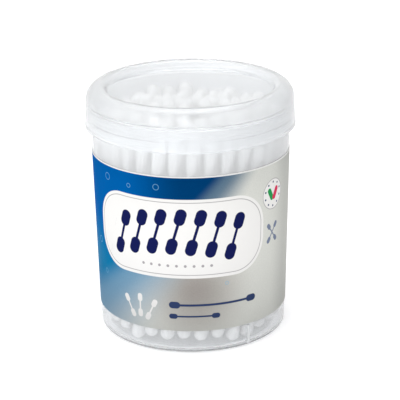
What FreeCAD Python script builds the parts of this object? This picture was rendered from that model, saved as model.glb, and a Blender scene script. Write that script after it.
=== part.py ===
import FreeCAD, Part
import Sketcher
import math
import os
import random

# Cotton swab tub: a clear tub with a push-on lid, its wrap label and the swabs that stand in it.
# Millimetres, +Z up, origin under the middle of the foot, front towards -Y.

# Driving sizes, each a cell of the sheet: name, value, what it measures.
DRIVING_SIZES = (
    ("SwabLength", 75.0, "swab, end to end"),
    ("StickRadius", 1.15, "paper stick"),
    ("HeadRadius", 2.6, "cotton head at its fullest"),
    ("HeadLength", 14.0, "cotton head"),
    ("HeadShoulder", 4.6, "stick to the full width of the head"),
    ("HeadCrown", 3.6, "rounding at the end of the head"),
    ("HeadTipRadius", 1.3, "flat at the very end of the head"),
    ("SwabSides", 5.0, "flat sides round a swab"),
    ("SwabGap", 0.4, "between the heads of neighbours"),
    ("SwabClearance", 0.25, "outermost heads to the tub wall"),
    ("SwabFloorGap", 0.1, "lowest head to the floor"),
    ("SwabLift", 3.5, "most that a swab is wedged above the floor"),
    ("OuterTwist", 22.0, "turn of the outermost ring from foot to top, degrees"),
    ("TwistStep", 8.0, "how much less each ring inwards turns, degrees"),
    ("TubBaseRadius", 33.0, "outside of the wall at the foot"),
    ("TubTaper", 0.0225, "radius that the wall gains for each mm of height"),
    ("TubWall", 0.8, "wall"),
    ("TubFloor", 0.8, "floor"),
    ("RimAboveSwabs", 1.1, "highest swab to the rim"),
    ("FootChamfer", 0.9, "corner between wall and foot"),
    ("FootRingWidth", 3.2, "flat ring that the tub stands on"),
    ("FootRecess", 0.5, "foot to the underside of the floor"),
    ("GateRadius", 1.5, "round gate mark in the middle of the underside"),
    ("GateHeight", 0.25, "gate mark, down from the underside of the floor"),
    ("RimBeadDrop", 2.6, "rim to the peak of the tub's snap bead"),
    ("RimBeadProud", 0.25, "tub's snap bead beyond the wall"),
    ("BeadHalfHeight", 0.6, "either snap bead, from its peak to its foot"),
    ("MarkAngle", -55.0, "moulded locating mark, round from +X, degrees"),
    ("MarkWidth", 1.2, "locating mark, across"),
    ("MarkProud", 0.4, "locating mark, out from the wall"),
    ("MarkBottom", 1.0, "foot to the locating mark"),
    ("MarkBelowLabel", 0.6, "locating mark to the label"),
    ("LabelBottom", 8.5, "foot to the label"),
    ("LabelBelowSkirt", 8.6, "lid skirt to the label"),
    ("LabelGap", 0.06, "wall to label"),
    ("LabelThickness", 0.12, "label film"),
    ("LabelSeam", 0.6, "gap where the label's ends meet at the back"),
    ("LidWall", 0.8, "lid wall"),
    ("LidClearance", 0.4, "tub rim to the inside of the skirt"),
    ("BeadSpacing", 1.7, "tub's snap bead down to the lid's"),
    ("SnapClearance", 0.15, "between the two snap beads as they pass"),
    ("SkirtBelowBead", 3.2, "lid's snap bead to the edge of the skirt"),
    ("SkirtTaper", 0.06, "radius that the skirt gains for each mm downwards"),
    ("LipProud", 0.2, "bead round the edge of the skirt, beyond it"),
    ("LipHeight", 1.1, "bead round the edge of the skirt, upwards"),
    ("StopRingReach", 0.1, "stop ring past the inside of the rim"),
    ("StopRingHeight", 0.8, "stop ring, from the rim to its top"),
    ("ShoulderRise", 1.0, "rim to the start of the round shoulder"),
    ("ShoulderRadius", 5.8, "round shoulder, outside"),
    ("CrestInset", 0.3, "top of the round shoulder to the edge of the sunk panel"),
    ("RecessSlope", 1.2, "radius lost down the step round the panel"),
    ("RecessDepth", 2.2, "crest of the shoulder to the panel"),
)
SWAB_NODES = 50
LAYOUT_SEED = 7
JITTER_SHARE = 0.6

doc = FreeCAD.newDocument("SwabTub")
sheet = doc.addObject("Spreadsheet::Sheet", "Sizes")
for row, (alias, size, meaning) in enumerate(DRIVING_SIZES, start=1):
    sheet.set(f"A{row}", alias)
    sheet.set(f"B{row}", str(size))
    sheet.set(f"C{row}", meaning)
    sheet.setAlias(f"B{row}", alias)
doc.recompute()


def value(expression):
    """The number that an expression on the sheet comes to."""
    return float(sheet.evalExpression(expression))


def plane_of(body, role):
    """One of the body's own origin planes."""
    return [plane for plane in body.Origin.OriginFeatures if plane.Role == role][0]


def arc_centre(start, end, radius, turn):
    """Centre of the arc from start to end that turns left (1) or right (-1)."""
    chord = end - start
    reach = math.sqrt(radius**2 - (chord.Length / 2) ** 2)
    leftwards = FreeCAD.Vector(-chord.y, chord.x, 0).normalize()
    return (start + end) * 0.5 + leftwards * reach * turn


def outline_edge(sketch, start, end, arc):
    """Draw one edge and return it with the number of its starting vertex."""
    if arc is None:
        return sketch.addGeometry(Part.LineSegment(start, end), False), 1
    radius, turn = arc
    centre = arc_centre(start, end, value(radius), turn)
    first, last = (start, end) if turn > 0 else (end, start)
    from_angle = math.atan2(first.y - centre.y, first.x - centre.x)
    to_angle = math.atan2(last.y - centre.y, last.x - centre.x)
    circle = Part.Circle(centre, FreeCAD.Vector(0, 0, 1), value(radius))
    edge = sketch.addGeometry(Part.ArcOfCircle(circle, from_angle, to_angle), False)
    tie(sketch, Sketcher.Constraint("Radius", edge, value(radius)), f"bend{edge}", radius)
    return edge, 1 if turn > 0 else 2


def tie(sketch, constraint, name, expression):
    """Add a dimension to a sketch and bind it to the sheet."""
    sketch.renameConstraint(sketch.addConstraint(constraint), name)
    sketch.setExpression(f".Constraints.{name}", expression)


def turned_body(label, corners, arcs=None, sweep="360"):
    """A body revolved about Z from a closed outline of (radius, height) expressions.

    arcs gives, for the corner that an arc leaves, its radius and whether it turns left (1) or right (-1).
    """
    body = doc.addObject("PartDesign::Body", label)
    body.Label = label
    sketch = body.newObject("Sketcher::SketchObject", f"{label}_outline")
    sketch.AttachmentSupport = [(plane_of(body, "XZ_Plane"), "")]
    sketch.MapMode = "FlatFace"
    points = [FreeCAD.Vector(value(radius), value(height), 0) for radius, height in corners]
    edges = []
    for index, start in enumerate(points):
        end = points[(index + 1) % len(points)]
        edges.append(outline_edge(sketch, start, end, (arcs or {}).get(index)))
    for index, (radius, height) in enumerate(corners):
        edge, here = edges[index]
        before, there = edges[index - 1]
        sketch.addConstraint(Sketcher.Constraint("Coincident", before, 3 - there, edge, here))
        if radius == AXIS:
            sketch.addConstraint(Sketcher.Constraint("PointOnObject", edge, here, -2))
        else:
            across = Sketcher.Constraint("DistanceX", -1, 1, edge, here, value(radius))
            tie(sketch, across, f"radius{index}", radius)
        if height == GROUND:
            sketch.addConstraint(Sketcher.Constraint("PointOnObject", edge, here, -1))
        else:
            upwards = Sketcher.Constraint("DistanceY", -1, 1, edge, here, value(height))
            tie(sketch, upwards, f"height{index}", height)
    turned = body.newObject("PartDesign::Revolution", f"{label}_turned")
    turned.Profile = sketch
    turned.ReferenceAxis = (sketch, ["V_Axis"])
    turned.setExpression("Angle", sweep)
    doc.recompute()
    return body


def wall(height):
    """Outside radius of the tub wall at a height."""
    return f"(Sizes.TubBaseRadius + Sizes.TubTaper * ({height}))"


def skirt(height):
    """Outside radius of the lid skirt at a height."""
    return f"({SHOULDER_EDGE} + Sizes.SkirtTaper * ({SHOULDER} - ({height})))"


# Heights and radii that more than one piece uses.
AXIS = "0 * Sizes.TubBaseRadius"
GROUND = "0 * Sizes.TubFloor"
FLOOR_TOP = "(Sizes.FootRecess + Sizes.TubFloor)"
RIM = f"({FLOOR_TOP} + Sizes.SwabFloorGap + Sizes.SwabLength + Sizes.SwabLift + Sizes.RimAboveSwabs)"
RIM_BEAD = f"({RIM} - Sizes.RimBeadDrop)"
LID_BEAD = f"({RIM_BEAD} - Sizes.BeadSpacing)"
SKIRT_EDGE = f"({LID_BEAD} - Sizes.SkirtBelowBead)"
SHOULDER = f"({RIM} + Sizes.ShoulderRise)"
RIM_BEAD_RADIUS = f"({wall(RIM_BEAD)} + Sizes.RimBeadProud)"
SHOULDER_EDGE = f"({wall(RIM)} + Sizes.LidClearance + Sizes.LidWall)"


def make_tub():
    """Tapered cup with a foot ring, a gate mark under its recessed floor and a snap bead below the rim."""
    foot_edge = "Sizes.TubBaseRadius - Sizes.FootChamfer"
    under_bead = f"{RIM_BEAD} - Sizes.BeadHalfHeight"
    over_bead = f"{RIM_BEAD} + Sizes.BeadHalfHeight"
    gate = "Sizes.FootRecess - Sizes.GateHeight"
    corners = (
        (AXIS, gate),
        ("Sizes.GateRadius", gate),
        ("Sizes.GateRadius", "Sizes.FootRecess"),
        (f"{foot_edge} - Sizes.FootRingWidth", "Sizes.FootRecess"),
        (f"{foot_edge} - Sizes.FootRingWidth", GROUND),
        (foot_edge, GROUND),
        (wall("Sizes.FootChamfer"), "Sizes.FootChamfer"),
        (wall(under_bead), under_bead),
        (RIM_BEAD_RADIUS, RIM_BEAD),
        (wall(over_bead), over_bead),
        (wall(RIM), RIM),
        (f"{wall(RIM)} - Sizes.TubWall", RIM),
        (f"{wall(FLOOR_TOP)} - Sizes.TubWall", FLOOR_TOP),
        (AXIS, FLOOR_TOP),
    )
    body = turned_body("tub", corners)
    add_locating_mark(body)
    return body


def add_locating_mark(body):
    """Small upright bar on the outside of the wall, below the label, that lines the tub up."""
    sketch = body.newObject("Sketcher::SketchObject", "mark_outline")
    sketch.AttachmentSupport = [(plane_of(body, "XY_Plane"), "")]
    sketch.MapMode = "FlatFace"
    sketch.setExpression("AttachmentOffset.Base.z", "Sizes.MarkBottom")
    sketch.setExpression("AttachmentOffset.Rotation.Angle", "Sizes.MarkAngle")
    near = "Sizes.TubBaseRadius - Sizes.TubWall / 2"
    far = f"{wall('Sizes.LabelBottom')} + Sizes.MarkProud"
    half = "Sizes.MarkWidth / 2"
    corners = [(near, -1), (far, -1), (far, 1), (near, 1)]
    points = [FreeCAD.Vector(value(radius), side * value(half), 0) for radius, side in corners]
    for index, start in enumerate(points):
        sketch.addGeometry(Part.LineSegment(start, points[(index + 1) % len(points)]), False)
    for index, (radius, side) in enumerate(corners):
        sketch.addConstraint(Sketcher.Constraint("Coincident", (index - 1) % len(corners), 2, index, 1))
        outwards = Sketcher.Constraint("DistanceX", -1, 1, index, 1, value(radius))
        tie(sketch, outwards, f"reach{index}", radius)
        sideways = Sketcher.Constraint("DistanceY", -1, 1, index, 1, side * value(half))
        tie(sketch, sideways, f"side{index}", f"{side} * {half}")
    mark = body.newObject("PartDesign::Pad", "locating_mark")
    mark.Profile = sketch
    mark.setExpression("Length", "Sizes.LabelBottom - Sizes.MarkBelowLabel - Sizes.MarkBottom")
    body.Tip = mark
    doc.recompute()


def make_label():
    """Film wrapped round the tapered wall, its ends meeting at the back with a narrow gap."""
    top = f"({SKIRT_EDGE} - Sizes.LabelBelowSkirt)"
    bottom = "Sizes.LabelBottom"
    corners = (
        (f"{wall(bottom)} + Sizes.LabelGap", bottom),
        (f"{wall(bottom)} + Sizes.LabelGap + Sizes.LabelThickness", bottom),
        (f"{wall(top)} + Sizes.LabelGap + Sizes.LabelThickness", top),
        (f"{wall(top)} + Sizes.LabelGap", top),
    )
    seam_angle = "Sizes.LabelSeam / Sizes.TubBaseRadius * 180 / pi"
    body = turned_body("label", corners, sweep=f"360 - {seam_angle}")
    body.Placement = FreeCAD.Placement(FreeCAD.Vector(), FreeCAD.Rotation(FreeCAD.Vector(0, 0, 1), 90))
    body.setExpression("Placement.Rotation.Angle", f"90 - {seam_angle} / 2")
    doc.recompute()
    return body


def make_lid():
    """Cap that pushes over the rim: skirt with a lip and a bead, stop ring, round shoulder, sunk panel."""
    middle = f"({SHOULDER_EDGE} - Sizes.ShoulderRadius)"
    crest = f"({SHOULDER} + Sizes.ShoulderRadius)"
    inner_radius = "(Sizes.ShoulderRadius - Sizes.LidWall)"
    step = f"({middle} - Sizes.CrestInset)"
    step_top = f"{SHOULDER} + cath(Sizes.ShoulderRadius; Sizes.CrestInset)"
    inner_step_top = f"{SHOULDER} + cath({inner_radius}; Sizes.LidWall - Sizes.CrestInset)"
    panel = f"({crest} - Sizes.RecessDepth)"
    lip_top = f"({SKIRT_EDGE} + Sizes.LipHeight)"
    under_bead = f"({LID_BEAD} - Sizes.BeadHalfHeight)"
    over_bead = f"({LID_BEAD} + Sizes.BeadHalfHeight)"
    stop_radius = f"({wall(RIM)} - Sizes.TubWall - Sizes.StopRingReach)"
    corners = (
        (f"{skirt(SKIRT_EDGE)} + Sizes.LipProud", SKIRT_EDGE),
        (f"{skirt(lip_top)} + Sizes.LipProud", lip_top),
        (skirt(f"{lip_top} + Sizes.LipProud"), f"{lip_top} + Sizes.LipProud"),
        (SHOULDER_EDGE, SHOULDER),
        (step, step_top),
        (f"{step} - Sizes.RecessSlope", panel),
        (AXIS, panel),
        (AXIS, f"{panel} - Sizes.LidWall"),
        (f"{step} - Sizes.RecessSlope + Sizes.LidWall", f"{panel} - Sizes.LidWall"),
        (f"{step} + Sizes.LidWall", inner_step_top),
        (f"{SHOULDER_EDGE} - Sizes.LidWall", SHOULDER),
        (stop_radius, f"{RIM} + Sizes.StopRingHeight"),
        (stop_radius, RIM),
        (f"{skirt(RIM)} - Sizes.LidWall", RIM),
        (f"{skirt(over_bead)} - Sizes.LidWall", over_bead),
        (f"{RIM_BEAD_RADIUS} + Sizes.SnapClearance", LID_BEAD),
        (f"{skirt(under_bead)} - Sizes.LidWall", under_bead),
        (f"{skirt(SKIRT_EDGE)} - Sizes.LidWall", SKIRT_EDGE),
    )
    outer_shoulder, inner_shoulder = 3, 9
    arcs = {
        outer_shoulder: ("Sizes.ShoulderRadius", 1),
        inner_shoulder: (inner_radius, -1),
    }
    return turned_body("lid", corners, arcs)


def faceted_swab():
    """One swab as a closed solid of flat faces, its end on the origin and its stick along +Z."""
    length = value("Sizes.SwabLength")
    head = value("Sizes.HeadLength")
    sides = round(value("Sizes.SwabSides"))
    half = (
        (0.0, value("Sizes.HeadTipRadius")),
        (value("Sizes.HeadCrown"), value("Sizes.HeadRadius")),
        (head - value("Sizes.HeadShoulder"), value("Sizes.HeadRadius")),
        (head, value("Sizes.StickRadius")),
    )
    stations = half + tuple((length - height, radius) for height, radius in reversed(half))
    rings = []
    for height, radius in stations:
        angles = [2 * math.pi * side / sides for side in range(sides)]
        rings.append([FreeCAD.Vector(radius * math.cos(a), radius * math.sin(a), height) for a in angles])
    outlines = [rings[0][::-1], rings[-1]]
    for lower, upper in zip(rings, rings[1:]):
        for side in range(sides):
            after = (side + 1) % sides
            outlines.append([lower[side], lower[after], upper[after], upper[side]])
    faces = [Part.Face(Part.makePolygon(outline + outline[:1])) for outline in outlines]
    return Part.Solid(Part.Shell(faces))


def swab_places():
    """Where the swabs stand: rings that fill the tub from the wall inwards, each twisted as a whole."""
    chance = random.Random(LAYOUT_SEED)
    head_radius = value("Sizes.HeadRadius")
    pitch = 2 * head_radius + value("Sizes.SwabGap")
    fit = value("Sizes.TubWall + Sizes.SwabClearance + Sizes.HeadRadius")
    foot_radius = value(wall(FLOOR_TOP)) - fit
    top_radius = value(wall(f"{FLOOR_TOP} + Sizes.SwabLength - Sizes.HeadLength")) - fit
    spread = top_radius - foot_radius
    length = value("Sizes.SwabLength")
    twist = math.radians(value("Sizes.OuterTwist"))
    places = []
    while foot_radius > 0:
        count = max(1, int(2 * math.pi * foot_radius / pitch))
        start = chance.uniform(0, 2 * math.pi)
        lean = math.atan(foot_radius * abs(twist) / length)
        for turn in range(count):
            foot_angle = start + 2 * math.pi * turn / count
            ends = []
            for radius, angle in ((foot_radius, foot_angle), (foot_radius + spread, foot_angle + twist)):
                room = 2 * radius * math.sin(math.pi / count) * math.cos(lean) - 2 * head_radius
                sway = max(room, 0) / 2 * JITTER_SHARE * chance.uniform(-1, 1) / radius
                ends.append((radius * math.cos(angle + sway), radius * math.sin(angle + sway)))
            across = math.dist(*ends)
            tilt = math.asin(across / length)
            rise = value("Sizes.SwabFloorGap") + value("Sizes.HeadTipRadius") * math.sin(tilt)
            rise += (value("Sizes.SwabLift") - value("Sizes.HeadTipRadius") * math.sin(tilt)) * chance.random()
            foot = FreeCAD.Vector(*ends[0], rise)
            along = FreeCAD.Vector(*ends[1], rise + length * math.cos(tilt)) - foot
            places.append(FreeCAD.Placement(foot, FreeCAD.Rotation(FreeCAD.Vector(0, 0, 1), along)))
        foot_radius -= pitch
        twist -= math.radians(value("Sizes.TwistStep"))
    return places


def make_swabs():
    """The swabs, dealt out evenly so that neighbours share a node."""
    swab = faceted_swab()
    places = swab_places()
    groups = min(SWAB_NODES, len(places))
    nodes = []
    for number in range(1, groups + 1):
        first = (number - 1) * len(places) // groups
        last = number * len(places) // groups
        standing = []
        for place in places[first:last]:
            placed = swab.copy()
            placed.Placement = place
            standing.append(placed)
        node = doc.addObject("Part::Feature", f"swabs_{number:02d}")
        node.Label = f"swabs_{number:02d}"
        node.Shape = Part.makeCompound(standing)
        node.Placement = FreeCAD.Placement(FreeCAD.Vector(0, 0, value(FLOOR_TOP)), FreeCAD.Rotation())
        nodes.append(node)
    return nodes


pieces = [make_tub(), make_label(), make_lid()] + make_swabs()
doc.recompute()

for thing in doc.Objects:
    if "Invalid" in thing.State or "Error" in thing.State:
        raise RuntimeError(f"{thing.Label} failed: {thing.State}")
os.makedirs("parts", exist_ok=True)
for piece in pieces:
    if piece.Shape.isNull() or not piece.Shape.isValid():
        raise RuntimeError(f"{piece.Label} has no sound shape")
for piece in pieces:
    piece.Shape.exportStep(os.path.join("parts", f"{piece.Label}.step"))
    print(piece.Label, len(piece.Shape.Solids), "solids", round(piece.Shape.Volume, 1), "cubic mm")
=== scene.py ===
import math
import random

import bmesh
import bpy
from mathutils import Matrix, Quaternion, Vector, noise


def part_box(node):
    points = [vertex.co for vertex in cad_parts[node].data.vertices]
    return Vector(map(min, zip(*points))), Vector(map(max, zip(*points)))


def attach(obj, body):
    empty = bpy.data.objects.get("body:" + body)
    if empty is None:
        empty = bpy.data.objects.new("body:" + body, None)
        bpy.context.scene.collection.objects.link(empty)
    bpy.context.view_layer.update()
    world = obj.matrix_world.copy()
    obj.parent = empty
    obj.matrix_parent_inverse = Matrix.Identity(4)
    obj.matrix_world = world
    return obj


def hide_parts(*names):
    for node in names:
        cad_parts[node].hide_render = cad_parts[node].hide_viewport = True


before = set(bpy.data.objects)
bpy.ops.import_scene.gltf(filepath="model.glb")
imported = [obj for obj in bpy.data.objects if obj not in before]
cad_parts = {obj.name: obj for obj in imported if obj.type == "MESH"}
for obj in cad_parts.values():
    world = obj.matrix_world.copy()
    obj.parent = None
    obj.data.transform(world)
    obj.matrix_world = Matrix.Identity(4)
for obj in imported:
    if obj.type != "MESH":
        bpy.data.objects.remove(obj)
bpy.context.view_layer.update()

# The photographer's table, in metres: a white floor, a white surround that shows through the plastic, two
# large soft lamps in front and to the left, and a third overhead. The camera, placed in mm as every piece
# is, looks slightly down on the lid.
MM = 0.001
PURE_WHITE = (1, 1, 1, 1)
ROOM_STRENGTH = 0.78
FLOOR_HALF = 3.0
FLOOR_COLOUR = (0.9, 0.9, 0.91, 1)
FLOOR_LIFT = 0.3
studio = bpy.context.scene
studio.view_settings.view_transform = "Standard"
studio.cycles.transparent_max_bounces = 24
studio.cycles.max_bounces = 20
studio.cycles.transmission_bounces = 16


def add_node(tree, kind, inputs=None, **settings):
    """Add a node with its settings, and link or set its inputs, which are given by name or number."""
    made = tree.nodes.new(kind)
    for name, setting in settings.items():
        setattr(made, name, setting)
    for name, given in (inputs or {}).items():
        if isinstance(given, bpy.types.NodeSocket):
            tree.links.new(given, made.inputs[name])
        else:
            made.inputs[name].default_value = given
    return made


def seen_straight(tree):
    """1 for rays from the camera, off a gloss or through the plastic, 0 for rays that carry light."""
    path = add_node(tree, "ShaderNodeLightPath").outputs
    either = add_node(tree, "ShaderNodeMath", {0: path["Is Camera Ray"], 1: path["Is Glossy Ray"]},
                      operation="MAXIMUM")
    return add_node(tree, "ShaderNodeMath", {0: either.outputs[0], 1: path["Is Transmission Ray"]},
                    operation="MAXIMUM").outputs[0]


surround = bpy.data.worlds.new("surround")
surround.use_nodes = True
tree = surround.node_tree
tree.nodes.clear()
room_light = add_node(tree, "ShaderNodeBackground", {"Color": PURE_WHITE, "Strength": ROOM_STRENGTH})
backdrop = add_node(tree, "ShaderNodeBackground", {"Color": PURE_WHITE, "Strength": 1})
chosen = add_node(tree, "ShaderNodeMixShader", {0: seen_straight(tree), 1: room_light.outputs[0],
                                                2: backdrop.outputs[0]})
add_node(tree, "ShaderNodeOutputWorld", {"Surface": chosen.outputs[0]})
studio.world = surround

bm = bmesh.new()
bmesh.ops.create_grid(bm, x_segments=1, y_segments=1, size=FLOOR_HALF)
floor_mesh = bpy.data.meshes.new("floor")
bm.to_mesh(floor_mesh)
bm.free()
floor = bpy.data.objects.new("floor", floor_mesh)
studio.collection.objects.link(floor)
floor_paint = bpy.data.materials.new("floor_paint")
floor_paint.use_nodes = True
tree = floor_paint.node_tree
tree.nodes.clear()
matt = add_node(tree, "ShaderNodeBsdfDiffuse", {"Color": FLOOR_COLOUR})
lift = add_node(tree, "ShaderNodeEmission", {"Color": PURE_WHITE, "Strength": seen_straight(tree)})
dimmed = add_node(tree, "ShaderNodeMixShader", {0: FLOOR_LIFT, 2: lift.outputs[0]})
both = add_node(tree, "ShaderNodeAddShader", {0: matt.outputs[0], 1: dimmed.outputs[0]})
add_node(tree, "ShaderNodeOutputMaterial", {"Surface": both.outputs[0]})
floor_mesh.materials.append(floor_paint)

LAMPS = (
    ("key_lamp", (-0.24, -0.96, 0.40), 0.9, 3.75),
    ("side_lamp", (-0.90, -0.30, 0.50), 0.8, 1.25),
    ("top_lamp", (-0.05, 0.20, 1.05), 0.8, 2.8),
)
LAMP_AIM = Vector((0, 0, 0.045))
for name, place, size, power in LAMPS:
    lamp = bpy.data.lights.new(name, "AREA")
    lamp.size = size
    lamp.energy = power
    holder = bpy.data.objects.new(name, lamp)
    holder.location = place
    holder.rotation_euler = (LAMP_AIM - Vector(place)).to_track_quat("-Z", "Y").to_euler()
    studio.collection.objects.link(holder)

CAMERA_PLACE = Vector((0, -556.94, 244.06)) * MM
CAMERA_AIM = Vector((2.98, 0, 44.39)) * MM
CAMERA_ROLL = math.radians(-0.763)
camera = bpy.data.objects.new("camera", bpy.data.cameras.new("camera"))
camera.data.lens = 150
camera.data.sensor_width = 36
camera.data.clip_start = 0.05
camera.location = CAMERA_PLACE
upright = (CAMERA_AIM - CAMERA_PLACE).to_track_quat("-Z", "Y")
camera.rotation_euler = (upright @ Quaternion((0, 0, 1), CAMERA_ROLL)).to_euler()
studio.collection.objects.link(camera)
studio.camera = camera


# Tub: one cup of clear polypropylene with a slightly hazy wall, injection moulded in one shot.
# It stands on a foot ring round a recessed floor with its gate mark, and a snap bead holds the lid.
# A short bar low on the wall, to the right of the front, lines the tub up for its label.
TURN_STEPS = 180
MERGE_WITHIN = 0.001 * MM
TUB_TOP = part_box("tub")[1].z / MM
BASE_RADIUS = 33.0
TUB_TAPER = 0.0225
TUB_WALL = 0.8
FOOT_RECESS = 0.5
FLOOR_TOP = 1.3
FOOT_IN = 28.9
FOOT_SLOPE = 0.9
FOOT_OUT = BASE_RADIUS - FOOT_SLOPE
GATE_RADIUS = 1.5
GATE_DROP = 0.25
RIM_BEAD = TUB_TOP - 2.6
BEAD_HALF = 0.6
BEAD_PROUD = 0.25
MARK_ANGLE = math.radians(-55)
MARK_SIZE = (0.9, 1.2, 6.9)
MARK_MIDDLE = (BASE_RADIUS + 0.1, 0, 4.45)
MARK_ROUND = 0.15
TUB_TINT = (0.92, 0.93, 0.94, 1)


def wall_radius(height):
    """Outside radius of the tub wall, in mm."""
    return BASE_RADIUS + TUB_TAPER * height


def spun(outline, steps):
    """Spin an outline of (radius, height, corner rounding), in mm, about the upright axis."""
    bm = bmesh.new()
    corners = [bm.verts.new((radius * MM, 0, height * MM)) for radius, height, rounding in outline]
    for start, end in zip(corners, corners[1:]):
        bm.edges.new((start, end))
    for corner, (radius, height, rounding) in zip(corners, outline):
        if rounding:
            bmesh.ops.bevel(bm, geom=[corner], offset=rounding * MM, offset_type="OFFSET",
                            affect="VERTICES", segments=4, profile=0.5, material=-1)
    bmesh.ops.spin(bm, geom=bm.verts[:] + bm.edges[:], cent=(0, 0, 0), axis=(0, 0, 1),
                   angle=2 * math.pi, steps=steps, use_merge=True)
    bmesh.ops.remove_doubles(bm, verts=bm.verts[:], dist=MERGE_WITHIN)
    bmesh.ops.recalc_face_normals(bm, faces=bm.faces[:])
    return bm


def finished(name, bm):
    """Turn a bmesh into a smooth object that stands where its vertices are, its faces in a set order."""
    in_order = sorted(bm.faces, key=lambda face: tuple(face.calc_center_median()))
    for number, face in enumerate(in_order):
        face.index = number
        face.smooth = True
    bm.faces.sort()
    mesh = bpy.data.meshes.new(name)
    bm.to_mesh(mesh)
    bm.free()
    piece = bpy.data.objects.new(name, mesh)
    studio.collection.objects.link(piece)
    return piece


def even_shading(piece):
    """Let the large faces of a moulding decide its shading, so that its walls stay straight."""
    weighted = piece.modifiers.new("even_shading", "WEIGHTED_NORMAL")
    weighted.weight = 100


def milky_plastic(name, tint, radii, clearness, haze):
    """Moulding open to the lamps' light, whose clearness and haze change between two radii in mm."""
    plastic = bpy.data.materials.new(name)
    plastic.use_nodes = True
    tree = plastic.node_tree
    tree.nodes.clear()
    place = add_node(tree, "ShaderNodeTexCoord").outputs["Object"]
    stretched = add_node(tree, "ShaderNodeMapping", {"Vector": place, "Scale": (1, 1, 0.25)}).outputs[0]
    flow = add_node(tree, "ShaderNodeTexNoise", {"Vector": stretched, "Scale": 60, "Detail": 3}).outputs[0]
    flat = add_node(tree, "ShaderNodeVectorMath", {0: place, 1: (1, 1, 0)}, operation="MULTIPLY")
    outward = add_node(tree, "ShaderNodeVectorMath", {0: flat.outputs[0]}, operation="LENGTH")
    clear, hazy = (add_node(tree, "ShaderNodeMapRange", {
        "Value": outward.outputs["Value"], "From Min": radii[0] * MM, "From Max": radii[1] * MM,
        "To Min": inner, "To Max": outer}).outputs[0] for inner, outer in (clearness, haze))
    uneven = add_node(tree, "ShaderNodeMapRange", {"Value": flow, "To Min": 0.88, "To Max": 1.12})
    rough = add_node(tree, "ShaderNodeMath", {0: hazy, 1: uneven.outputs[0]}, operation="MULTIPLY")
    ripple = add_node(tree, "ShaderNodeBump", {"Height": flow, "Distance": 0.05 * MM, "Strength": 0.3})
    body = add_node(tree, "ShaderNodeBsdfPrincipled", {
        "Base Color": tint, "Transmission Weight": clear, "IOR": 1.49,
        "Roughness": rough.outputs[0], "Normal": ripple.outputs[0]})
    open_to_lamps = add_node(tree, "ShaderNodeBsdfTransparent", {"Color": tint})
    path = add_node(tree, "ShaderNodeLightPath")
    shown = add_node(tree, "ShaderNodeMixShader", {0: path.outputs["Is Shadow Ray"], 1: body.outputs[0],
                                                   2: open_to_lamps.outputs[0]})
    add_node(tree, "ShaderNodeOutputMaterial", {"Surface": shown.outputs[0]})
    return plastic


bm = spun((
    (0, FOOT_RECESS - GATE_DROP, 0),
    (GATE_RADIUS, FOOT_RECESS - GATE_DROP, 0.1),
    (GATE_RADIUS, FOOT_RECESS, 0.1),
    (FOOT_IN, FOOT_RECESS, 0.22),
    (FOOT_IN, 0, 0.22),
    (FOOT_OUT, 0, 0.6),
    (wall_radius(FOOT_SLOPE), FOOT_SLOPE, 0.6),
    (wall_radius(RIM_BEAD - BEAD_HALF), RIM_BEAD - BEAD_HALF, 0.2),
    (wall_radius(RIM_BEAD) + BEAD_PROUD, RIM_BEAD, 0.2),
    (wall_radius(RIM_BEAD + BEAD_HALF), RIM_BEAD + BEAD_HALF, 0.2),
    (wall_radius(TUB_TOP), TUB_TOP, 0.3),
    (wall_radius(TUB_TOP) - TUB_WALL, TUB_TOP, 0.3),
    (wall_radius(FLOOR_TOP) - TUB_WALL, FLOOR_TOP, 0.8),
    (0, FLOOR_TOP, 0),
), TURN_STEPS)
mark = bmesh.ops.create_cube(bm, size=MM)["verts"]
bmesh.ops.scale(bm, vec=MARK_SIZE, verts=mark)
bmesh.ops.translate(bm, vec=Vector(MARK_MIDDLE) * MM, verts=mark)
bmesh.ops.rotate(bm, cent=(0, 0, 0), matrix=Matrix.Rotation(MARK_ANGLE, 3, "Z"), verts=mark)
for face in {face for vert in mark for face in vert.link_faces}:
    face.material_index = 1
edges = list({edge for vert in mark for edge in vert.link_edges})
bmesh.ops.bevel(bm, geom=edges, offset=MARK_ROUND * MM, affect="EDGES", segments=2, profile=0.5,
                material=-1)
tub = finished("tub_shell", bm)
even_shading(tub)
WALL_RADII = (wall_radius(FLOOR_TOP), wall_radius(TUB_TOP))
tub.data.materials.append(milky_plastic("tub_polypropylene", TUB_TINT, WALL_RADII,
                                        clearness=(0.84, 0.55), haze=(0.1, 0.24)))
tub.data.materials.append(milky_plastic("thick_mark", TUB_TINT, WALL_RADII,
                                        clearness=(0.6, 0.6), haze=(0.2, 0.2)))
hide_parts("tub")
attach(tub, "tub")


# Label: a thin printed film glued round the tub. A blue field fades through steel grey to silver. On it
# are a white patch with a row of swabs, a small round seal, a crossed pair and plain drawings of swabs.
LABEL_LOW, LABEL_HIGH = (corner.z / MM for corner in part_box("label"))
LABEL_GAP = 0.06
LABEL_FILM = 0.12
PRINT_RADIUS = 34.0
SEAM_GAP = 0.6
SEAM_ANGLE = SEAM_GAP / PRINT_RADIUS
HEAD_STRETCH = 0.6

bm = bmesh.new()
ends = [bm.verts.new((0, (wall_radius(height) + LABEL_GAP) * MM, height * MM))
        for height in (LABEL_LOW, LABEL_HIGH)]
strip = bm.edges.new(ends)
bmesh.ops.rotate(bm, verts=ends, cent=(0, 0, 0), matrix=Matrix.Rotation(SEAM_ANGLE / 2, 3, "Z"))
bmesh.ops.spin(bm, geom=[*ends, strip], cent=(0, 0, 0), axis=(0, 0, 1), angle=2 * math.pi - SEAM_ANGLE,
               steps=TURN_STEPS, use_merge=False)
bmesh.ops.recalc_face_normals(bm, faces=bm.faces[:])
label = finished("label_film", bm)
film_wall = label.modifiers.new("film", "SOLIDIFY")
film_wall.thickness = LABEL_FILM * MM
film_wall.offset = 1

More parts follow.
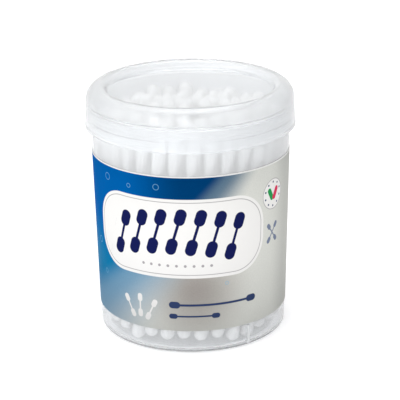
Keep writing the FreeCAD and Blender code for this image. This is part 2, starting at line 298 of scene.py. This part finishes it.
film = bpy.data.materials.new("printed_film")
film.use_nodes = True
tree = film.node_tree
tree.nodes.clear()


def ink(red, green, blue):
    """A printed colour, from its 8-bit shade."""
    def linear(part):
        share = part / 255
        return share / 12.92 if share <= 0.04045 else ((share + 0.055) / 1.055) ** 2.4
    return (linear(red), linear(green), linear(blue), 1)


def calc(operation, first, second=0.0, third=0.0):
    """One step of arithmetic in the print."""
    made = add_node(tree, "ShaderNodeMath", {0: first, 1: second, 2: third}, operation=operation)
    return made.outputs[0]


def vector_calc(operation, first, second=(0, 0, 0)):
    """One step of arithmetic on a place in the print."""
    made = add_node(tree, "ShaderNodeVectorMath", {0: first, 1: second}, operation=operation)
    return made.outputs["Value" if operation == "LENGTH" else "Vector"]


def joined(across, upward):
    """A place in the print from its two measures."""
    return add_node(tree, "ShaderNodeCombineXYZ", {0: across, 1: upward, 2: 0.0}).outputs[0]


def parted(place):
    """The two measures of a place in the print."""
    made = add_node(tree, "ShaderNodeSeparateXYZ", {0: place})
    return made.outputs["X"], made.outputs["Y"]


def from_centre(place, centre, lean=0):
    """A place measured from a motif's centre, in mm, with the motif leaning to the right by degrees."""
    return add_node(tree, "ShaderNodeMapping", {
        "Vector": place, "Location": (*centre, 0), "Rotation": (0, 0, -math.radians(lean)),
    }, vector_type="TEXTURE").outputs[0]


def disc(place, radius):
    """Distance in mm from a disc."""
    return calc("SUBTRACT", vector_calc("LENGTH", place), radius)


def bar(place, half_width, half_height, rounding):
    """Distance in mm from a bar with round ends or corners."""
    beyond = vector_calc("SUBTRACT", vector_calc("ABSOLUTE", place), (half_width, half_height, 0))
    return disc(vector_calc("MAXIMUM", beyond), rounding)


def ring(distance, half_line):
    """Distance from a line along the edge of a motif."""
    return calc("SUBTRACT", calc("ABSOLUTE", distance), half_line)


def swab_drawing(place, half_length, head, stick):
    """Distance from an upright swab, whose heads and stick are given by half their thickness."""
    head_place = half_length - head * (1 + HEAD_STRETCH)
    ends = vector_calc("SUBTRACT", vector_calc("ABSOLUTE", place), (0, head_place, 0))
    return calc("MINIMUM", bar(place, 0, half_length - head, stick),
                bar(ends, 0, head * HEAD_STRETCH, head))


def eased(measure, start, end):
    """0 where a measure is start, 1 where it is end, and soft between."""
    return add_node(tree, "ShaderNodeMapRange", {"Value": measure, "From Min": start, "From Max": end},
                    interpolation_type="SMOOTHSTEP").outputs[0]


def printed(under, cover, colour):
    """A colour printed over what is there, as far as it covers."""
    return add_node(tree, "ShaderNodeMix", {0: cover, 6: under, 7: colour}, data_type="RGBA").outputs[2]


def stamped(under, distance, colour, edge=0.1):
    """A motif printed with a crisp edge."""
    return printed(under, eased(distance, edge, -edge), colour)


object_place = add_node(tree, "ShaderNodeTexCoord").outputs["Object"]
axes = add_node(tree, "ShaderNodeSeparateXYZ", {0: object_place}).outputs
around = calc("ARCTAN2", axes["X"], calc("MULTIPLY", axes["Y"], -1))
across = calc("MULTIPLY", around, PRINT_RADIUS)
upward = calc("MULTIPLY", axes["Z"], 1 / MM)
on_film = joined(across, upward)

# The ground: silver with a painted sheen, lighter towards the front and darker in painted shade at the
# right side, with a warm grey shade low in front, and blue above a curved border that climbs to the right.
# Steel grey follows the border, and the blue is deep at its top end and light low down.
PAINTED_LIT_SILVER = ink(213, 214, 208)
PAINTED_SHADE_SILVER = ink(194, 195, 190)
WARM_GREY = ink(156, 151, 146)
STEEL = ink(92, 117, 137)
PALE_STEEL = ink(112, 151, 178)
BLUE = ink(0, 90, 162)
LIGHT_BLUE = ink(0, 115, 162)
DEEP_BLUE = ink(0, 58, 108)
BORDER_START = (-45, 12)
BORDER_SLOPE = 0.62
BORDER_CURVE = 0.005
BORDER_SHARPNESS = 0.45
SHARPNESS_RISE = 0.009
SHADE_CENTRE = (1, 24)
SHADE_REACH = (24, 26)
from_left = calc("SUBTRACT", across, BORDER_START[0])
slope = calc("MULTIPLY_ADD", from_left, BORDER_CURVE, BORDER_SLOPE)
border = calc("MULTIPLY_ADD", from_left, slope, BORDER_START[1])
sharpness = calc("MULTIPLY_ADD", upward, SHARPNESS_RISE, BORDER_SHARPNESS)
above = calc("MULTIPLY", calc("SUBTRACT", upward, border), sharpness)
off_shade = vector_calc("MULTIPLY", from_centre(on_film, SHADE_CENTRE),
                        (1 / SHADE_REACH[0], 1 / SHADE_REACH[1], 0))
# Painted highlight and painted shade: the silver is lighter up to 30 mm across and darker past 42 mm,
# where the label turns from the lamps.
silver_with_painted_sheen = printed(PAINTED_LIT_SILVER, eased(across, 30, 42), PAINTED_SHADE_SILVER)
ground = printed(silver_with_painted_sheen, eased(vector_calc("LENGTH", off_shade), 1, 0), WARM_GREY)
steels = printed(STEEL, eased(upward, 50, 26), PALE_STEEL)
ground = printed(ground, eased(above, -16, 0), steels)
blues = printed(BLUE, eased(upward, 48, 26), LIGHT_BLUE)
blues = printed(blues, eased(across, -26, -2), DEEP_BLUE)
ground = printed(ground, eased(above, -1, 7), blues)
flakes = add_node(tree, "ShaderNodeTexNoise", {
    "Vector": object_place, "Scale": 2500, "Detail": 1}).outputs[0]
flake_light = add_node(tree, "ShaderNodeMapRange", {"Value": flakes, "To Min": 0.92, "To Max": 1.08})
ground = vector_calc("MULTIPLY", ground, flake_light.outputs[0])

# White patch with a grey hairline inside its edge, an arched row of slanting swabs and a row of dots.
PATCH_CENTRE = (-5.5, 42.5)
PATCH_HALF = (20.5, 2.3)
PATCH_ROUND = 12
HAIRLINE_INSET = 1.2
HAIRLINE_HALF = 0.13
NAVY = ink(22, 28, 80)
WHITE = ink(235, 234, 232)
HAIRLINE = ink(165, 162, 164)
patch = bar(from_centre(on_film, PATCH_CENTRE), *PATCH_HALF, PATCH_ROUND)
picture = stamped(ground, patch, WHITE)
picture = stamped(picture, ring(calc("ADD", patch, HAIRLINE_INSET), HAIRLINE_HALF), HAIRLINE)

SWAB_PITCH = 6.8
SWAB_SLANT = 0.3
SWABS_EACH_SIDE = 3
ARCH = 0.3
ROW_RISE = 2.6
row_across, row_upward = parted(from_centre(on_film, (PATCH_CENTRE[0], PATCH_CENTRE[1] + ROW_RISE)))
slanted = calc("SUBTRACT", row_across, calc("MULTIPLY", row_upward, SWAB_SLANT))
number = calc("ROUND", calc("DIVIDE", slanted, SWAB_PITCH))
arched = calc("MULTIPLY_ADD", calc("MULTIPLY", number, number), ARCH, row_upward)
own_across = calc("SUBTRACT", row_across, calc("MULTIPLY", number, SWAB_PITCH))
own_place = from_centre(joined(own_across, arched), (0, 0), lean=math.degrees(math.atan(SWAB_SLANT)))
row_swab = swab_drawing(own_place, half_length=8.6, head=1.9, stick=0.5)
beyond_row = calc("SUBTRACT", calc("ABSOLUTE", slanted), SWAB_PITCH * (SWABS_EACH_SIDE + 0.5))
picture = stamped(picture, calc("MAXIMUM", row_swab, beyond_row), NAVY)

DOTS = 9
DOT_PITCH = 3.0
DOT_RADIUS = 0.5
DOT_DROP = 9.8
dot_across, dot_upward = parted(from_centre(on_film, (PATCH_CENTRE[0], PATCH_CENTRE[1] - DOT_DROP)))
dots = disc(joined(calc("WRAP", dot_across, DOT_PITCH / 2, -DOT_PITCH / 2), dot_upward), DOT_RADIUS)
beyond_dots = calc("SUBTRACT", calc("ABSOLUTE", dot_across), DOT_PITCH * DOTS / 2)
picture = stamped(picture, calc("MAXIMUM", dots, beyond_dots), HAIRLINE)

# Low in front: three white swabs in a fan. Beside them lie a long and a short swab, each given by its
# centre, half its length and half the thickness of its heads.
FAN_SWABS = 3
FAN_FOOT = (-19.5, 6.5)
FAN_STEP = math.radians(26)
FAN_REACH = 10.0
SLATE = ink(52, 66, 104)
LYING_SWABS = (((7.5, 18.2), 16.0, 1.25), ((0.5, 14.0), 9.0, 0.95))
in_fan = from_centre(on_film, FAN_FOOT)
fan_across, fan_upward = parted(in_fan)
fan_angle = calc("ARCTAN2", fan_across, fan_upward)
fan_turn = calc("WRAP", fan_angle, FAN_STEP / 2, -FAN_STEP / 2)
fan_radius = vector_calc("LENGTH", in_fan)
fan_place = joined(calc("MULTIPLY", fan_radius, calc("SINE", fan_turn)),
                   calc("MULTIPLY_ADD", fan_radius, calc("COSINE", fan_turn), -FAN_REACH))
fan_swab = swab_drawing(fan_place, half_length=4.4, head=0.95, stick=0.3)
beyond_fan = calc("SUBTRACT", calc("ABSOLUTE", fan_angle), FAN_STEP * FAN_SWABS / 2)
picture = stamped(picture, calc("MAXIMUM", fan_swab, beyond_fan), WHITE)
for centre, half_length, head in LYING_SWABS:
    lying = swab_drawing(from_centre(on_film, centre, lean=90), half_length, head, stick=head / 3)
    picture = stamped(picture, lying, SLATE)

# Seal to the right: a white disc with a ring of small dots and two petals. Below it is a crossed pair.
SEAL_CENTRE = (32.1, 53.6)
SEAL_RADIUS = 5.4
SEAL_DOTS = 10
SEAL_DOT_RADIUS = 0.36
SEAL_DOT_INSET = 1.1
FINE_HALF = 0.12
PETAL_CENTRE = (1.35, 0.1)
PETAL_LEAN = 28
GREEN = ink(44, 150, 84)
ROSE = ink(214, 62, 96)
in_seal = from_centre(on_film, SEAL_CENTRE)
seal = disc(in_seal, SEAL_RADIUS)
picture = stamped(picture, seal, WHITE)
picture = stamped(picture, ring(seal, FINE_HALF), HAIRLINE)
seal_across, seal_upward = parted(in_seal)
dot_turn = math.pi / SEAL_DOTS
seal_turn = calc("WRAP", calc("ARCTAN2", seal_across, seal_upward), dot_turn, -dot_turn)
seal_radius = vector_calc("LENGTH", in_seal)
dot_place = joined(calc("MULTIPLY", seal_radius, seal_turn), seal_radius)
seal_dots = disc(from_centre(dot_place, (0, SEAL_RADIUS - SEAL_DOT_INSET)), SEAL_DOT_RADIUS)
picture = stamped(picture, seal_dots, SLATE)
for side, colour in ((-1, GREEN), (1, ROSE)):
    in_petal = from_centre(in_seal, (side * PETAL_CENTRE[0], PETAL_CENTRE[1]), lean=side * PETAL_LEAN)
    picture = stamped(picture, bar(in_petal, 0, 1.5, 0.95), colour)

PAIR_CENTRE = (32.0, 39.5)
PAIR_LEAN = 38
PAIR_GREY = ink(120, 130, 152)
crossed = calc("MINIMUM", *(
    swab_drawing(from_centre(on_film, PAIR_CENTRE, lean), half_length=4.4, head=0.8, stick=0.25)
    for lean in (PAIR_LEAN, -PAIR_LEAN)))
picture = stamped(picture, crossed, PAIR_GREY)

# Small pale rings scattered over the blue and the steel, each given by its place and its radius, and the
# unprinted edge of the film at the top. The print has fine metal flakes, and the film a slight pull.
RINGS = (
    (-33, 60.6, 1.2),
    (-22.5, 59.8, 0.7),
    (-12, 60.8, 1.0),
    (-41, 35, 1.1),
    (-37, 24.5, 0.8),
    (12, 25.6, 0.6),
)
RING_COVER = 0.6
BARE_EDGE = 0.45
PALE_BLUE = ink(120, 176, 208)
for ring_across, ring_upward, radius in RINGS:
    bubble = ring(disc(from_centre(on_film, (ring_across, ring_upward)), radius), FINE_HALF)
    cover = calc("MULTIPLY", eased(bubble, FINE_HALF, -FINE_HALF), RING_COVER)
    picture = printed(picture, cover, PALE_BLUE)
picture = stamped(picture, calc("SUBTRACT", LABEL_HIGH - BARE_EDGE, upward), WHITE, edge=0.08)

sheen = add_node(tree, "ShaderNodeMapRange", {"Value": flakes, "To Min": 0.38, "To Max": 0.5})
pull = add_node(tree, "ShaderNodeTexNoise", {"Vector": object_place, "Scale": 90, "Detail": 2})
film_bump = add_node(tree, "ShaderNodeBump", {"Height": pull.outputs[0], "Distance": 0.03 * MM,
                                              "Strength": 0.4})
film_body = add_node(tree, "ShaderNodeBsdfPrincipled", {
    "Base Color": picture, "Roughness": sheen.outputs[0], "Normal": film_bump.outputs[0],
    "Specular IOR Level": 0.004})
add_node(tree, "ShaderNodeOutputMaterial", {"Surface": film_body.outputs[0]})
label.data.materials.append(film)
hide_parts("label")
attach(label, "tub")


# Swabs: a hundred paper sticks, each with a cotton head wound on both ends, stood upright in rings.
# Each ring leans round the tub, the outermost the most, so the heads crowd at the floor and at the rim.
SWAB_LENGTH = 75.0
SWAB_STEPS = 12
HEAD_LENGTH = 14.0
HEAD_RADIUS = 2.55
TIP_RADIUS = HEAD_RADIUS * 0.98
HEAD_SHOULDER = 9.2
STICK_RADIUS = 1.15
SOLID_SIDES = 5
WINDING_STEP = 10
FIBRE_ANGLE = math.radians(18)
WISP_SHADE = 0.93
LUMP_SEED = 11
LUMP_SIZE = 2.2
LUMP_DEPTH = 0.04
LUMPY_LENGTH = HEAD_LENGTH - 0.5
RING_NODES = (
    ("swabs_outer_ring", 1, 16),
    ("swabs_second_ring", 17, 29),
    ("swabs_third_ring", 30, 39),
    ("swabs_fourth_ring", 40, 46),
    ("swabs_centre", 47, 50),
)


def one_swab():
    """One swab on end, spun from its rounded outline, with the cotton and the paper told apart."""
    lower = (
        (0, 0, 0),
        (TIP_RADIUS, 0, 2.4),
        (HEAD_RADIUS, HEAD_SHOULDER, 3.6),
        (STICK_RADIUS, HEAD_LENGTH, 0.5),
    )
    upper = tuple((radius, SWAB_LENGTH - height, rounding) for radius, height, rounding in reversed(lower))
    bm = spun(lower + upper, SWAB_STEPS)
    winding = bm.loops.layers.uv.new("winding")
    for face in bm.faces:
        middle = face.calc_center_median()
        height = min(middle.z, SWAB_LENGTH * MM - middle.z) / MM
        face.material_index = 0 if height < HEAD_LENGTH else 1
        face_turn = math.atan2(middle.y, middle.x)
        for loop in face.loops:
            turn = math.atan2(loop.vert.co.y, loop.vert.co.x)
            turn = face_turn + math.remainder(turn - face_turn, 2 * math.pi)
            loop[winding].uv = (turn / math.pi, loop.vert.co.z / MM / WINDING_STEP)
    mesh = bpy.data.meshes.new("one_swab")
    bm.to_mesh(mesh)
    bm.free()
    return mesh


def swab_axes(node):
    """Foot and top of each swab of a node, from the flat ends of its two solids."""
    bm = bmesh.new()
    bm.from_mesh(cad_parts[node].data)
    bmesh.ops.remove_doubles(bm, verts=bm.verts[:], dist=MERGE_WITHIN)
    waiting = sorted(bm.verts, key=lambda vert: vert.co.to_tuple(6))
    axes = []
    while waiting:
        island = {waiting[0]}
        growing = [waiting[0]]
        while growing:
            near = {vert for edge in growing.pop().link_edges for vert in edge.verts}
            growing.extend(near - island)
            island |= near
        waiting = [vert for vert in waiting if vert not in island]
        upwards = sorted(island, key=lambda vert: vert.co.z)
        flat_ends = (upwards[:SOLID_SIDES], upwards[-SOLID_SIDES:])
        axes.append([sum((vert.co for vert in end), Vector()) / SOLID_SIDES for end in flat_ends])
    bm.free()
    return axes


def swab_material(name, colour, roughness, grain, depth):
    """Wound cotton or rolled paper: fibres that follow the winding, raised by a depth in mm, and wisps."""
    made = bpy.data.materials.new(name)
    made.use_nodes = True
    tree = made.node_tree
    tree.nodes.clear()
    wound = add_node(tree, "ShaderNodeTexCoord").outputs["UV"]
    along_fibres = add_node(tree, "ShaderNodeMapping", {
        "Vector": wound, "Rotation": (0, 0, FIBRE_ANGLE), "Scale": (1, 6, 1)})
    fibres = add_node(tree, "ShaderNodeTexNoise", {
        "Vector": along_fibres.outputs[0], "Scale": grain, "Detail": 4, "Roughness": 0.7}).outputs[0]
    darker = tuple(part * WISP_SHADE for part in colour[:3]) + (1,)
    wisps = add_node(tree, "ShaderNodeMix", {0: fibres, 6: darker, 7: colour}, data_type="RGBA")
    bump = add_node(tree, "ShaderNodeBump", {"Height": fibres, "Distance": depth * MM, "Strength": 0.7})
    body = add_node(tree, "ShaderNodeBsdfPrincipled", {
        "Base Color": wisps.outputs[2], "Roughness": roughness, "Normal": bump.outputs[0],
        "Sheen Weight": 0.2, "Specular IOR Level": 0.2})
    add_node(tree, "ShaderNodeOutputMaterial", {"Surface": body.outputs[0]})
    return made


cotton = swab_material("wound_cotton", (0.96, 0.96, 0.955, 1), roughness=0.95, grain=7, depth=0.25)
paper = swab_material("rolled_paper", (0.92, 0.92, 0.91, 1), roughness=0.7, grain=3, depth=0.03)
swab_mesh = one_swab()
chance = random.Random(LUMP_SEED)
for name, first, last in RING_NODES:
    nodes = [f"swabs_{number:02d}" for number in range(first, last + 1)]
    bm = bmesh.new()
    for foot, top in (ends for node in nodes for ends in swab_axes(node)):
        known = len(bm.verts)
        bm.from_mesh(swab_mesh)
        added = bm.verts[known:]
        for vert in added:
            if abs(vert.co.z / MM - SWAB_LENGTH / 2) > SWAB_LENGTH / 2 - LUMPY_LENGTH:
                lump = noise.noise(vert.co / (LUMP_SIZE * MM) + Vector((chance.random(), 0, known)))
                vert.co.xy *= 1 - LUMP_DEPTH + LUMP_DEPTH * lump
        stood = (top - foot).to_track_quat("Z", "Y").to_matrix().to_4x4()
        turn = Matrix.Rotation(chance.uniform(0, 2 * math.pi), 4, "Z")
        bmesh.ops.transform(bm, matrix=Matrix.Translation(foot) @ stood @ turn, verts=added)
    swabs = finished(name, bm)
    swabs.data.materials.append(cotton)
    swabs.data.materials.append(paper)
    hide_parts(*nodes)
    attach(swabs, "tub")


# Lid: one cap of the same plastic, clearest in its panel. Its skirt goes over the rim and snaps below
# the tub's bead, a stop ring meets the rim, and a raised round shoulder surrounds the flat sunk panel.
LID_LOW, LID_TOP = (corner.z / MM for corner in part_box("lid"))
LID_WALL = 0.8
LIP_PROUD = 0.2
LIP_TOP = LID_LOW + 1.1
SHOULDER_Z = TUB_TOP + 1.0
SHOULDER_OUT = wall_radius(TUB_TOP) + 1.2
SHOULDER_ROUND = 4.6
SKIRT_TAPER = 0.06
LID_BEAD = RIM_BEAD - 1.7
BEAD_CLEARANCE = 0.15
PANEL_TOP = LID_TOP - 2.2
PANEL_EDGE = SHOULDER_OUT - 7.3
PANEL_ROUND = 0.5
CREST_EDGE = PANEL_EDGE + 1.2
CREST_ROUND = 1.4
CREST_TILT = math.atan2(LID_TOP - PANEL_TOP, CREST_EDGE - PANEL_EDGE)
INSIDE_STEP = LID_WALL * math.tan(CREST_TILT / 2)
INSIDE_CREST_ROUND = 0.93
INSIDE_PANEL_ROUND = 0.98
STOP_IN = wall_radius(TUB_TOP) - TUB_WALL - 0.1
STOP_HEIGHT = 0.8
LID_TINT = (0.94, 0.95, 0.96, 1)
PANEL_RADII = (PANEL_EDGE - 1, PANEL_EDGE)


def skirt_radius(height):
    """Outside radius of the lid's skirt, in mm."""
    return SHOULDER_OUT + SKIRT_TAPER * (SHOULDER_Z - height)


bm = spun((
    (0, PANEL_TOP, 0),
    (PANEL_EDGE, PANEL_TOP, PANEL_ROUND),
    (CREST_EDGE, LID_TOP, CREST_ROUND),
    (SHOULDER_OUT, LID_TOP, SHOULDER_ROUND),
    (skirt_radius(LIP_TOP + LIP_PROUD), LIP_TOP + LIP_PROUD, 0.1),
    (skirt_radius(LIP_TOP) + LIP_PROUD, LIP_TOP, 0.1),
    (skirt_radius(LID_LOW) + LIP_PROUD, LID_LOW, 0.2),
    (skirt_radius(LID_LOW) - LID_WALL, LID_LOW, 0.2),
    (skirt_radius(LID_BEAD - BEAD_HALF) - LID_WALL, LID_BEAD - BEAD_HALF, 0.3),
    (wall_radius(RIM_BEAD) + BEAD_PROUD + BEAD_CLEARANCE, LID_BEAD, 0.3),
    (skirt_radius(LID_BEAD + BEAD_HALF) - LID_WALL, LID_BEAD + BEAD_HALF, 0.3),
    (skirt_radius(TUB_TOP) - LID_WALL, TUB_TOP, 0.4),
    (STOP_IN, TUB_TOP, 0.35),
    (STOP_IN, TUB_TOP + STOP_HEIGHT, 0.35),
    (SHOULDER_OUT - LID_WALL, SHOULDER_Z, 0.4),
    (SHOULDER_OUT - LID_WALL, LID_TOP - LID_WALL, SHOULDER_ROUND - LID_WALL),
    (CREST_EDGE + INSIDE_STEP, LID_TOP - LID_WALL, INSIDE_CREST_ROUND),
    (PANEL_EDGE + INSIDE_STEP, PANEL_TOP - LID_WALL, INSIDE_PANEL_ROUND),
    (0, PANEL_TOP - LID_WALL, 0),
), TURN_STEPS)
lid = finished("lid_cap", bm)
even_shading(lid)
lid.data.materials.append(milky_plastic("lid_polypropylene", LID_TINT, PANEL_RADII,
                                        clearness=(0.86, 0.78), haze=(0.06, 0.24)))
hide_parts("lid")
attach(lid, "lid")
